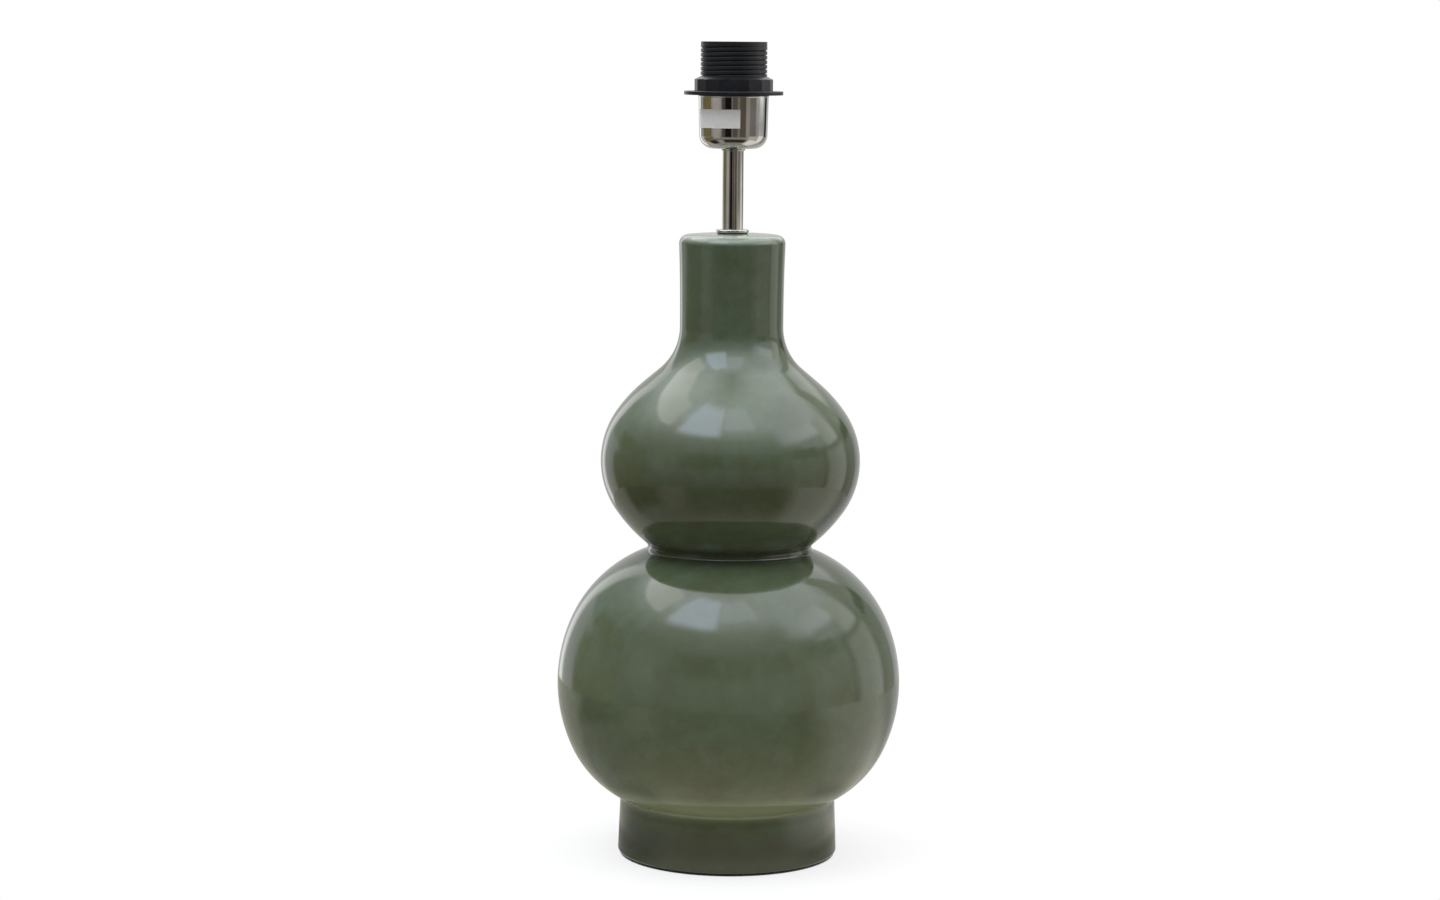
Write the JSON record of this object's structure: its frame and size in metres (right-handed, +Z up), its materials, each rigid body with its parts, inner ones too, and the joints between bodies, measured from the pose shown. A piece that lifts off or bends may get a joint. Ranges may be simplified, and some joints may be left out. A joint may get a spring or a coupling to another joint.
{
  "type": "table lamp base",
  "caption": "Table lamp base: a glossy double-gourd ceramic body on a foot ring, with a chrome stem, a screw lampholder and a shade ring that travels on its threaded barrel.",
  "frame": {"origin": "on the table under the middle of the foot, at the bottom of the felt", "axes": "+Z up along the lamp's axis, -Y towards the front, +Y towards the cable inlet"},
  "size_m": [0.2064, 0.2064, 0.4886],
  "materials": {
    "glaze": "gloss",
    "felt": "felt",
    "black_rubber": "matt",
    "cushion": "foam",
    "zinc_steel": "zinc plated",
    "nylon": "moulded",
    "chrome": "polished",
    "label": "satin",
    "insulator": "matt",
    "brass": "bright",
    "nickel_brass": "nickel plated",
    "black_plastic": "moulded"
  },
  "bodies": {
    "lamp": {"ceramic_body": "glaze", "felt_ring": "felt", "cable_grommet": "black_rubber", "base_cushion": "cushion", "base_plate": "zinc_steel", "base_washer": "zinc_steel", "base_lock_washer": "zinc_steel", "base_nut": "zinc_steel", "rod_end_bush": "nylon", "threaded_rod": "zinc_steel", "neck_bush": "nylon", "neck_washer": "chrome", "stem_tube": "chrome", "lampholder_cap": "chrome", "cap_bush": "chrome", "cap_grub_screw": "zinc_steel", "blank_label": "label", "contact_block": "insulator", "centre_terminal": "brass", "side_terminal": "brass", "terminal_screws": "zinc_steel", "screw_shell": "nickel_brass", "lampholder_skirt": "black_plastic"},
    "shade_ring_body": {"shade_ring": "black_plastic"},
    "centre_contact_body": {"centre_contact": "brass"}
  },
  "joints": [
    {"name": "shade_ring_travel", "type": "slide", "parent": "lamp", "child": "shade_ring_body", "axis": [0, 0, 1], "range_m": [0, 0.034]},
    {"name": "centre_contact_press", "type": "hinge", "parent": "lamp", "child": "centre_contact_body", "pos_m": [-0.0094, 0, 0.4554], "axis": [0, 1, 0], "range_deg": [0, 12], "stiffness_Nm_per_rad": 0.15}
  ]
}
